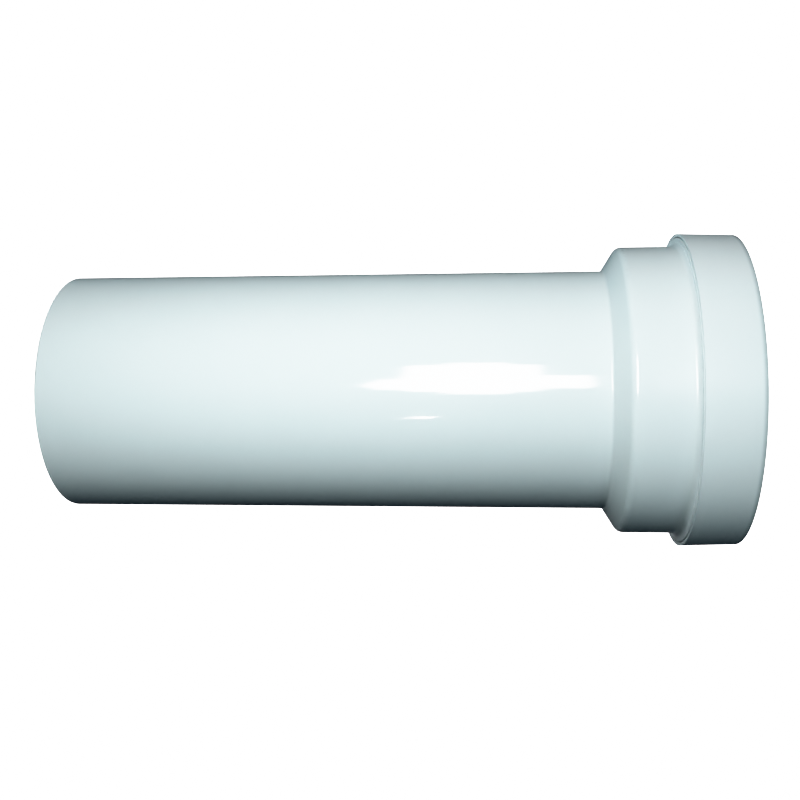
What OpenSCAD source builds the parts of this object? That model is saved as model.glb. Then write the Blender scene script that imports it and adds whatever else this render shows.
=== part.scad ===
/*
Straight drain coupling sleeve, standing on the mouth of its socket, with the spigot on top.
Z = 0 is the mouth face of the retaining cap, and the Z axis is the axis of the bore.
Every piece is one profile in the plane of radius and height, turned round the axis.
*/

/* [Spigot] */
// Outside diameter of the plain spigot
spigot_d = 110; // [100:0.5:118]
// Length of the plain spigot, from the shoulder to its free end
spigot_length = 249.2; // [60:0.1:500]
// Wall of the spigot, the shoulder and the socket
wall = 3; // [2:0.1:4]
// Rounding of the spigot's cut end
end_round = 0.6; // [0.2:0.1:0.9]

/* [Shoulder and socket] */
// Outside diameter of the socket
socket_d = 131.6; // [128:0.2:150]
// Height of the sloping shoulder between spigot and socket
shoulder_height = 6.7; // [4:0.1:20]
// Plain length of the socket, from the shoulder to the face of its flange
socket_length = 26.8; // [15:0.1:100]
// Outside rounding where the shoulder meets the socket
shoulder_round = 3.5; // [1:0.1:6]
// Hollow rounding where the spigot meets the shoulder
root_round = 1.5; // [0.5:0.1:3]

/* [Flange and catch] */
// How far the flange stands out from the socket
flange_rise = 3.8; // [3.4:0.1:6]
// Thickness of the flange
flange_thick = 3; // [2:0.1:5]
// Hollow rounding between the socket and the flange
flange_fillet = 2.2; // [0.5:0.1:3]
// Rounding of the flange's outer edge
flange_edge = 0.3; // [0.1:0.1:0.4]
// How far the catch ridge stands out from the nose of the socket
ridge_rise = 1.6; // [1:0.1:2.2]
// Height of the catch ridge's flat top
ridge_land = 0.8; // [0.5:0.1:2]
// Height of the slope that leads the cap over the ridge
ridge_lead = 2.4; // [1:0.1:4]
// Length of the nose between the catch ridge and the end of the socket
nose_length = 7.3; // [3:0.1:15]

/* [Retaining cap] */
// Wall of the cap's skirt round the flange
skirt_wall = 1.3; // [1.1:0.1:2.5]
// Wall of the cap round the seal
cap_wall = 1.7; // [1.6:0.1:3]
// Thickness of the ring that closes the cap round the mouth
cap_floor = 2.4; // [1.8:0.1:5]
// Diameter of the mouth
mouth_d = 114; // [108:0.5:118]
// Radius that the skirt loses from its open edge to the mouth
cap_draft = 0.8; // [0.1:0.1:1.2]
// Outside rounding round the mouth
cap_mouth_round = 1.6; // [0.5:0.1:2]
// Outside rounding of the skirt's open edge
cap_edge_round = 1; // [0.2:0.1:1]
// Lead-in chamfer inside the skirt's open edge
cap_lead_in = 0.2; // [0.1:0.1:0.9]
// Height of flange that the skirt leaves uncovered
cap_reveal = 0.3; // [0:0.1:2]
// Height of the snap bead inside the skirt
bead_height = 2.6; // [1.5:0.1:5]

/* [Lip seal] */
// Thickness of the seal's clamped rim
rim_thick = 5.6; // [3:0.1:10]
// Thickness of the sleeve that lines the socket
sleeve_wall = 2; // [1.2:0.1:3]
// Diameter inside the tips of the lips
lip_d = 96; // [90:0.5:102]
// Thickness of a lip
lip_thick = 1.8; // [1:0.1:3]
// How far a lip slopes into the socket
lip_slope = 9; // [4:0.1:14]
// Height from one lip to the next
lip_pitch = 9.5; // [5:0.1:12]
// Number of lips
lip_count = 3; // [1:1:3]

/* [Fits] */
// Clearance between the flange and the skirt round it
flange_gap = 0.6; // [0.3:0.1:1]
// Clearance round the clamped rim and the snap bead
fit = 0.3; // [0.1:0.05:0.5]
// Clearance between the seal's sleeve and the socket
seal_fit = 0.2; // [0.1:0.05:0.4]

/* [Hidden] */
$fn = 144;
edge_break = 0.4;
least_flat = 0.1;
sharp = 0;

spigot_r = spigot_d / 2;
pipe_bore_r = spigot_r - wall;
socket_r = socket_d / 2;
socket_bore_r = socket_r - wall;
flange_r = socket_r + flange_rise;
ridge_r = socket_r + ridge_rise;

nose_z = cap_floor + rim_thick;
ridge_z = nose_z + nose_length;
groove_z = ridge_z + ridge_lead + ridge_land;
groove_height = bead_height + 2 * fit;
flange_z = groove_z + groove_height;
face_z = flange_z + flange_thick;
shoulder_z = face_z + socket_length;
spigot_z = shoulder_z + shoulder_height;
total_z = spigot_z + spigot_length;

shoulder_turn = atan2(socket_r - spigot_r, shoulder_height);
wall_drop = wall * tan(shoulder_turn / 2);

skirt_top_z = face_z - cap_reveal;
skirt_bore_r = flange_r + flange_gap;
skirt_r = skirt_bore_r + skirt_wall;
skirt_round = min(cap_edge_round, skirt_wall - cap_lead_in - least_flat);
cap_mouth_r = skirt_r - cap_draft;
mouth_r = mouth_d / 2;
bead_r = socket_r + fit;
bead_z = groove_z + fit;
bead_lead = bead_height / 4;
pocket_r = cap_mouth_r - cap_wall;

rim_r = pocket_r - fit;
sleeve_r = socket_bore_r - seal_fit;
sleeve_bore_r = sleeve_r - sleeve_wall;
sleeve_foot_z = nose_z - rim_thick / 2;
sleeve_top_z = nose_z + (lip_count - 1) * lip_pitch + lip_thick;
rim_bore_r = min(mouth_r, sleeve_bore_r);
lip_end_r = (lip_d + lip_thick) / 2;
lip_root_r = sleeve_bore_r + sleeve_wall / 2;
lip_rise = lip_slope / (lip_root_r - lip_end_r);
first_root_r = rim_bore_r + lip_thick / 2;
first_end_z = nose_z - lip_thick / 3 + (rim_bore_r - lip_end_r) * lip_rise;

// Unit vector from a to b
function heading(a, b) = (b - a) / norm(b - a);

// Above zero where the outline turns left on its way from a over b to c
function left_turn(a, b, c) = (b[0] - a[0]) * (c[1] - b[1]) - (b[1] - a[1]) * (c[0] - b[0]);

// Sliver between a corner and the arc that rounds it
module corner_sliver(before, corner, after, radius) {
    to_before = heading(corner, before);
    to_after = heading(corner, after);
    half = acos(to_before * to_after) / 2;
    reach = radius / tan(half);
    middle = heading([0, 0], to_before + to_after);
    centre = corner + middle * radius / sin(half);
    difference() {
        polygon([corner, corner + to_before * reach, centre, corner + to_after * reach]);
        translate(centre) circle(radius);
    }
}

// Slivers of the corners that stand out, or else of the hollow ones
module slivers(corners, standing_out) {
    count = len(corners);
    points = [for (corner = corners) [corner[0], corner[1]]];
    for (place = [0 : count - 1]) {
        before = points[(place + count - 1) % count];
        after = points[(place + 1) % count];
        radius = corners[place][2];
        stands_out = left_turn(before, points[place], after) > 0;
        if (radius > 0 && stands_out == standing_out)
            corner_sliver(before, points[place], after, radius);
    }
}

// Outline that runs anticlockwise: each corner gives its radius, its height and how far it is rounded
module rounded_outline(corners) {
    difference() {
        polygon([for (corner = corners) [corner[0], corner[1]]]);
        slivers(corners, standing_out = true);
    }
    slivers(corners, standing_out = false);
}

// Spigot, shoulder, socket, flange and catch ridge: one moulding
module pipe_body() {
    color("white")
        rotate_extrude()
            rounded_outline([
                [pipe_bore_r, total_z, end_round],
                [pipe_bore_r, spigot_z - wall_drop, root_round + wall],
                [socket_bore_r, shoulder_z - wall_drop, max(shoulder_round - wall, edge_break)],
                [socket_bore_r, nose_z, edge_break],
                [socket_r, nose_z, edge_break],
                [socket_r, ridge_z, sharp],
                [ridge_r, ridge_z + ridge_lead, sharp],
                [ridge_r, groove_z, sharp],
                [socket_r, groove_z, sharp],
                [socket_r, flange_z, sharp],
                [flange_r, flange_z, sharp],
                [flange_r, face_z, flange_edge],
                [socket_r, face_z, flange_fillet],
                [socket_r, shoulder_z, shoulder_round],
                [spigot_r, spigot_z, root_round],
                [spigot_r, total_z, end_round]
            ]);
}

// Ring that snaps over the catch ridge and clamps the seal against the end of the socket
module retaining_cap() {
    color("whitesmoke")
        rotate_extrude()
            rounded_outline([
                [mouth_r, 0, edge_break],
                [cap_mouth_r, 0, cap_mouth_round],
                [skirt_r, skirt_top_z, skirt_round],
                [skirt_bore_r + cap_lead_in, skirt_top_z, sharp],
                [skirt_bore_r, skirt_top_z - cap_lead_in, sharp],
                [skirt_bore_r, bead_z + bead_height, sharp],
                [bead_r + bead_lead, bead_z + bead_height, sharp],
                [bead_r, bead_z + bead_height - bead_lead, sharp],
                [bead_r, bead_z, sharp],
                [pocket_r, bead_z, sharp],
                [pocket_r, cap_floor, sharp],
                [mouth_r, cap_floor, edge_break]
            ]);
}

// One lip of the seal, from a root inside the rubber to its round end
module lip(root_r, end_z) {
    end_round_r = lip_thick / 2;
    root = [root_r, end_z - (root_r - lip_end_r) * lip_rise];
    end = [lip_end_r, end_z];
    along = heading(root, end);
    across = [-along[1], along[0]] * end_round_r;
    polygon([root - across, end - across, end + across, root + across]);
    translate(end) circle(end_round_r);
}

// Rubber ring: a rim clamped under the cap and flush with its mouth, a sleeve that lines the socket, and lips
module lip_seal() {
    color("dimgray")
        rotate_extrude() {
            rounded_outline([
                [rim_bore_r, cap_floor, edge_break],
                [rim_r, cap_floor, edge_break],
                [rim_r, nose_z, edge_break],
                [rim_bore_r, nose_z, edge_break]
            ]);
            rounded_outline([
                [sleeve_bore_r, sleeve_foot_z, sharp],
                [sleeve_r, sleeve_foot_z, sharp],
                [sleeve_r, sleeve_top_z, edge_break],
                [sleeve_bore_r, sleeve_top_z, edge_break]
            ]);
            for (place = [0 : lip_count - 1])
                lip(place == 0 ? first_root_r : lip_root_r, first_end_z + place * lip_pitch);
        }
}

pipe_body();
retaining_cap();
lip_seal();
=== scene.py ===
"""Looks of the straight drain coupling sleeve: white plastic and a dark rubber seal, in a white studio.

The part stands on the mouth of its socket, and the camera lies on its side, so in the picture the spigot
points left and +X points up. Lengths are in metres, angles in degrees.
"""

import math

import bpy
from mathutils import Matrix, Quaternion, Vector


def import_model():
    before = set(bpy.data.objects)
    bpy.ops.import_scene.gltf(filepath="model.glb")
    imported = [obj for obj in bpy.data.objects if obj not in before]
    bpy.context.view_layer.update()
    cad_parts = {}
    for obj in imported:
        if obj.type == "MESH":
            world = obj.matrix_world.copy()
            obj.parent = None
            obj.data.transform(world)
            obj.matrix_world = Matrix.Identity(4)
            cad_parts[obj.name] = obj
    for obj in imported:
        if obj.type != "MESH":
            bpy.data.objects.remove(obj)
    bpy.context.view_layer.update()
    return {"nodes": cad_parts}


# Camera: its lens, where it stands, how it is turned and how near and far it sees
PICTURE_PX = 800
SENSOR_MM = 36.0
FOCAL_PX = 1018.4
CENTRE_ROW_PX = 370.25
CAMERA_DISTANCE = 0.4822
CAMERA_HEIGHT = 0.1074
TURN_TO_SPIGOT = 5.293
TILT_UP = 1.114
ROLL = 0.151
NEAREST_SEEN = 0.01
FARTHEST_SEEN = 50

# Stage
FLOOR_SIZE = 6.0
WHITE = (1, 1, 1, 1)
SURROUNDINGS = (0.004, 0.010, 0.015, 1)

# Response of the photograph: straight in the darks, bending softly towards the light that turns pure white
PURE_WHITE = 4.0
BEND = 4.3
RESPONSE_STEPS = (0.25, 0.5, 0.75, 1.0, 1.25, 1.5, 2.0, 3.0)
COMBINED_CURVE = 3

# Soft lights: place, size across and along the part, watts and colour of each
PART_MIDDLE = (0, 0, 0.12)
SOFT_LIGHTS = {
    "key": ((0.06, -0.24, 0.17), (0.12, 0.28), 0.50, (0.83, 0.99, 1.0)),
    "upper": ((0.26, -0.45, 0.06), (0.12, 0.12), 0.68, (1.0, 0.80, 0.78)),
    "middle": ((0.14, -0.45, 0.06), (0.12, 0.12), 0.29, (0.74, 1.0, 1.0)),
    "side": ((0.11, -0.80, -0.30), (0.3, 0.3), 1.9, (0.74, 0.945, 1.0)),
    "rim": ((0.73, 0.73, 0.75), (0.4, 0.4), 5.4, (0.55, 0.9, 1.0)),
    "back": ((0.15, 1.4, 0.35), (0.5, 0.9), 10, (0.93, 0.98, 1.0)),
    "back_low": ((-0.36, 1.35, 0.25), (0.4, 0.6), 6, (0.93, 0.98, 1.0)),
}

# What the spigot mirrors: lowest and highest Z, lowest and highest X of each bright patch, and a small glint
MIRRORED_Y = -0.755
MIRRORED = {
    "window": (0.058, 0.208, -0.018, 0.305),
    "window_low": (0.090, 0.160, -0.047, -0.018),
    "window_high": (0.090, 0.160, 0.305, 0.340),
    "window_left": (0.208, 0.238, 0.005, 0.125),
    "window_right": (0.002, 0.058, 0.022, 0.165),
    "window_end": (0.238, 0.250, 0.030, 0.085),
}
MIRRORED_RADIANCE = 32.0
GLINT_PLACE = (-0.356, MIRRORED_Y, 0.192)
GLINT_SIZE = (0.033, 0.009)
GLINT_TURN = -46
GLINT_RADIANCE = 120.0

# Plastic: flow marks in its tint and gloss, a faint ripple, a fine grain, and how far these are shifted
PLASTIC_TINTS = ((0.76, 0.815, 0.825, 1), (0.80, 0.85, 0.855, 1))
PLASTIC_IOR = 1.49
FLOW = {"Scale": 26.0, "Detail": 3.0}
GLOSSY_ROUGHNESS = (0.05, 0.09)
RIPPLE = {"Scale": 60.0, "Detail": 1.0}
RIPPLE_BUMP = {"Strength": 0.03, "Distance": 0.001}
PLASTIC_GRAIN = {"Scale": 2200.0, "Detail": 1.0}
PLASTIC_GRAIN_BUMP = {"Strength": 0.012, "Distance": 0.0002}
PIPE_PATTERN_SHIFT = 0.0
CAP_PATTERN_SHIFT = 3.7

# Plastic: the heights between which the duller socket gives way to the glossy spigot, and the painted shade
# on the rounded outer edge of the foot
SOCKET_DULL_HEIGHT = (0.030, 0.056)
SOCKET_DULLNESS = 0.17
PAINTED_SHADE_HEIGHT = (0.0, 0.0024)
PAINTED_SHADE_RADIUS = (0.0688, 0.0698)
PAINTED_SHADE_STRENGTH = 0.62
# Colour of the painted shade on the rounded outer edge of the foot
PAINTED_SHADE_COLOUR = (0.10, 0.16, 0.17, 1)
WITHOUT_HEIGHT = (1, 1, 0)

# Rubber: dusty bloom in its tint and roughness, and a fine grain
RUBBER_TINTS = ((0.022, 0.023, 0.025, 1), (0.048, 0.050, 0.052, 1))
BLOOM = {"Scale": 70.0, "Detail": 4.0}
RUBBER_ROUGHNESS = (0.48, 0.66)
RUBBER_GRAIN = {"Scale": 1500.0, "Detail": 2.0}
RUBBER_GRAIN_BUMP = {"Strength": 0.25, "Distance": 0.0002}

# Sockets of a Mix node that mixes colours
FIRST_COLOUR = 6
SECOND_COLOUR = 7
MIXED_COLOUR = 2


def turned(first, second, degrees):
    """Two directions at right angles, both turned by an angle from the first towards the second."""
    cos, sin = math.cos(math.radians(degrees)), math.sin(math.radians(degrees))
    return first * cos + second * sin, second * cos - first * sin


def camera():
    """A camera that lies on its side in front of the part, aimed a little towards the spigot."""
    right, ahead = turned(Vector((1, 0, 0)), Vector((0, 1, 0)), TURN_TO_SPIGOT)
    ahead, down = turned(ahead, Vector((0, 0, -1)), -TILT_UP)
    right, down = turned(right, down, ROLL)
    upright_to_side = Matrix(((0, 0, 1), (0, 1, 0), (-1, 0, 0)))
    columns = [upright_to_side @ direction for direction in (right, -down, -ahead)]
    data = bpy.data.cameras.new("camera")
    data.sensor_width = SENSOR_MM
    data.lens = FOCAL_PX / PICTURE_PX * SENSOR_MM
    data.shift_y = (CENTRE_ROW_PX - PICTURE_PX / 2) / PICTURE_PX
    data.clip_start = NEAREST_SEEN
    data.clip_end = FARTHEST_SEEN
    obj = bpy.data.objects.new("camera", data)
    place = Matrix.Translation((0, -CAMERA_DISTANCE, CAMERA_HEIGHT))
    obj.matrix_world = place @ Matrix(columns).transposed().to_4x4()
    bpy.context.collection.objects.link(obj)
    bpy.context.scene.camera = obj


class Nodes:
    """Short calls for building a node tree."""

    def __init__(self, tree):
        self.tree = tree
        tree.nodes.clear()

    def add(self, kind, links=None, **values):
        """A node with its properties and unlinked sockets set, and its sockets linked."""
        node = self.tree.nodes.new(kind)
        for name, value in values.items():
            if hasattr(node, name):
                setattr(node, name, value)
            else:
                node.inputs[name.replace("_", " ")].default_value = value
        for name, source in (links or {}).items():
            self.tree.links.new(source, node.inputs[name])
        return node

    def noise(self, place, settings):
        """Soft noise between 0 and 1."""
        return self.add("ShaderNodeTexNoise", {"Vector": place}, **settings).outputs["Fac"]

    def tint(self, share, first, second):
        """A blend of two colours."""
        ramp = self.add("ShaderNodeValToRGB", {"Fac": share})
        ramp.color_ramp.elements[0].color = first
        ramp.color_ramp.elements[1].color = second
        return ramp.outputs["Color"]

    def spread(self, share, lowest, highest):
        """A value between the lowest and the highest."""
        span = self.add("ShaderNodeMapRange", {"Value": share}, To_Min=lowest, To_Max=highest)
        return span.outputs["Result"]

    def fade(self, length, span, first, last):
        """Goes smoothly from the first value to the last where a length crosses a span."""
        limits = {"From_Min": span[0], "From_Max": span[1], "To_Min": first, "To_Max": last}
        step = self.add("ShaderNodeMapRange", {"Value": length}, interpolation_type="SMOOTHSTEP", **limits)
        return step.outputs["Result"]

    def combine(self, operation, first, second):
        """The sum or the product of two values."""
        return self.add("ShaderNodeMath", {0: first, 1: second}, operation=operation).outputs[0]

    def bump(self, height, settings, under=None):
        """A relief that shades the surface, on top of another one where there is one."""
        links = {"Height": height} if under is None else {"Height": height, "Normal": under}
        return self.add("ShaderNodeBump", links, **settings).outputs["Normal"]

    def surface(self, colour, roughness, bump, **values):
        """The shader of a material, and its output."""
        links = {"Base Color": colour, "Roughness": roughness, "Normal": bump}
        shader = self.add("ShaderNodeBsdfPrincipled", links, **values)
        self.add("ShaderNodeOutputMaterial", {"Surface": shader.outputs[0]})


def new_material(name):
    """A material, and the nodes to fill it with."""
    material = bpy.data.materials.new(name)
    material.use_nodes = True
    return material, Nodes(material.node_tree)


def world():
    """White to the camera, and a dim teal room to the part."""
    scene = bpy.context.scene
    scene.world = bpy.data.worlds.new("studio")
    scene.world.use_nodes = True
    nodes = Nodes(scene.world.node_tree)
    lighting = nodes.add("ShaderNodeBackground", Color=SURROUNDINGS, Strength=1.0)
    seen = nodes.add("ShaderNodeBackground", Color=WHITE, Strength=PURE_WHITE)
    ray = nodes.add("ShaderNodeLightPath").outputs["Is Camera Ray"]
    mix = nodes.add("ShaderNodeMixShader", {0: ray, 1: lighting.outputs[0], 2: seen.outputs[0]})
    nodes.add("ShaderNodeOutputWorld", {"Surface": mix.outputs[0]})


def response():
    """Bends the highlights softly into white, as the photograph does."""
    view = bpy.context.scene.view_settings
    view.view_transform = "Standard"
    view.use_curve_mapping = True
    mapping = view.curve_mapping
    mapping.white_level = (PURE_WHITE, PURE_WHITE, PURE_WHITE)
    points = mapping.curves[COMBINED_CURVE].points
    for light in RESPONSE_STEPS:
        points.new(light / PURE_WHITE, light / (1 + light**BEND) ** (1 / BEND))
    mapping.update()


def area_light(name, place, target, size, watts, colour=(1, 1, 1), glossy=True, diffuse=True):
    """A soft rectangle of light, never seen by the camera itself."""
    data = bpy.data.lights.new(name, "AREA")
    data.shape = "RECTANGLE"
    data.size, data.size_y = size
    data.energy = watts
    data.color = colour
    obj = bpy.data.objects.new(name, data)
    obj.location = place
    obj.rotation_mode = "QUATERNION"
    obj.rotation_quaternion = (Vector(target) - Vector(place)).to_track_quat("-Z", "Y")
    obj.visible_camera = False
    obj.visible_glossy = glossy
    obj.visible_diffuse = diffuse
    bpy.context.collection.objects.link(obj)
    return obj


def mirrored_patch(name, place, size, radiance, turn=0):
    """A bright patch that only the gloss sees, facing the part, turned by an angle in its own plane."""
    watts = math.pi * size[0] * size[1] * radiance
    patch = area_light(name, place, Vector(place) + Vector((0, 1, 0)), size, watts, diffuse=False)
    patch.rotation_quaternion @= Quaternion((0, 0, 1), math.radians(turn))


def lights():
    """Soft lights round the part, and the patches that the spigot mirrors."""
    for name, (place, size, watts, colour) in SOFT_LIGHTS.items():
        area_light(name, place, PART_MIDDLE, size, watts, colour, glossy=False)
    for name, (low_z, high_z, low_x, high_x) in MIRRORED.items():
        place = ((low_x + high_x) / 2, MIRRORED_Y, (low_z + high_z) / 2)
        mirrored_patch(name, place, (high_x - low_x, high_z - low_z), MIRRORED_RADIANCE)
    mirrored_patch("glint", GLINT_PLACE, GLINT_SIZE, GLINT_RADIANCE, GLINT_TURN)


def floor():
    """A white floor that neither lights nor shades the part, because one of the lights stands below it."""
    half = FLOOR_SIZE / 2
    corners = [(-half, -half, 0), (half, -half, 0), (half, half, 0), (-half, half, 0)]
    mesh = bpy.data.meshes.new("floor")
    mesh.from_pydata(corners, [], [(0, 1, 2, 3)])
    obj = bpy.data.objects.new("floor", mesh)
    bpy.context.collection.objects.link(obj)
    material, nodes = new_material("floor")
    glow = nodes.add("ShaderNodeEmission", Color=WHITE, Strength=PURE_WHITE)
    nodes.add("ShaderNodeOutputMaterial", {"Surface": glow.outputs[0]})
    mesh.materials.append(material)
    obj.visible_diffuse = False
    obj.visible_glossy = False
    obj.visible_shadow = False


def painted_foot_shade(nodes, place, height):
    """How much painted shade darkens the rounded outer edge of the foot, from none to its full strength."""
    across = nodes.add("ShaderNodeVectorMath", {0: place}, operation="MULTIPLY")
    across.inputs[1].default_value = WITHOUT_HEIGHT
    radius = nodes.add("ShaderNodeVectorMath", {0: across.outputs[0]}, operation="LENGTH").outputs["Value"]
    low = nodes.fade(height, PAINTED_SHADE_HEIGHT, 1.0, 0.0)
    outer = nodes.fade(radius, PAINTED_SHADE_RADIUS, 0.0, PAINTED_SHADE_STRENGTH)
    return nodes.combine("MULTIPLY", low, outer)


def white_plastic(name, pattern_shift):
    """Moulded plastic with flow marks and a fine grain: a glossy spigot, a duller socket, and painted shade
    on the rounded edge of the foot.
    """
    material, nodes = new_material(name)
    place = nodes.add("ShaderNodeTexCoord").outputs["Object"]
    height = nodes.add("ShaderNodeSeparateXYZ", {"Vector": place}).outputs["Z"]
    shift = (pattern_shift, pattern_shift, pattern_shift)
    pattern = nodes.add("ShaderNodeMapping", {"Vector": place}, Location=shift).outputs["Vector"]
    flow = nodes.noise(pattern, FLOW)
    tint = nodes.tint(flow, *PLASTIC_TINTS)
    # Painted shade: the colour darkens along the rounded outer edge of the foot, where the rounding turns
    # away from the lights
    foot_shade = painted_foot_shade(nodes, place, height)
    colour = nodes.add("ShaderNodeMix", {0: foot_shade, FIRST_COLOUR: tint}, data_type="RGBA")
    colour.inputs[SECOND_COLOUR].default_value = PAINTED_SHADE_COLOUR
    ripple = nodes.bump(nodes.noise(pattern, RIPPLE), RIPPLE_BUMP)
    bump = nodes.bump(nodes.noise(pattern, PLASTIC_GRAIN), PLASTIC_GRAIN_BUMP, under=ripple)
    gloss = nodes.spread(flow, *GLOSSY_ROUGHNESS)
    dull = nodes.fade(height, SOCKET_DULL_HEIGHT, SOCKET_DULLNESS, 0.0)
    rough = nodes.combine("ADD", gloss, dull)
    nodes.surface(colour.outputs[MIXED_COLOUR], rough, bump, IOR=PLASTIC_IOR)
    return material


def seal_rubber():
    """Matt dark rubber with a fine grain and a dusty bloom."""
    material, nodes = new_material("seal_rubber")
    place = nodes.add("ShaderNodeTexCoord").outputs["Object"]
    bloom = nodes.noise(place, BLOOM)
    tint = nodes.tint(bloom, *RUBBER_TINTS)
    bump = nodes.bump(nodes.noise(place, RUBBER_GRAIN), RUBBER_GRAIN_BUMP)
    rough = nodes.spread(bloom, *RUBBER_ROUGHNESS)
    nodes.surface(tint, rough, bump)
    return material


def dress(node, material):
    """Gives a node of the frame its material in every slot."""
    slots = node.data.materials
    if not slots:
        slots.append(material)
    for place in range(len(slots)):
        slots[place] = material


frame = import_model()
camera()
world()
response()
lights()
floor()
dress(frame["nodes"]["pipe_body"], white_plastic("pipe_plastic", PIPE_PATTERN_SHIFT))
dress(frame["nodes"]["retaining_cap"], white_plastic("cap_plastic", CAP_PATTERN_SHIFT))
dress(frame["nodes"]["lip_seal"], seal_rubber())
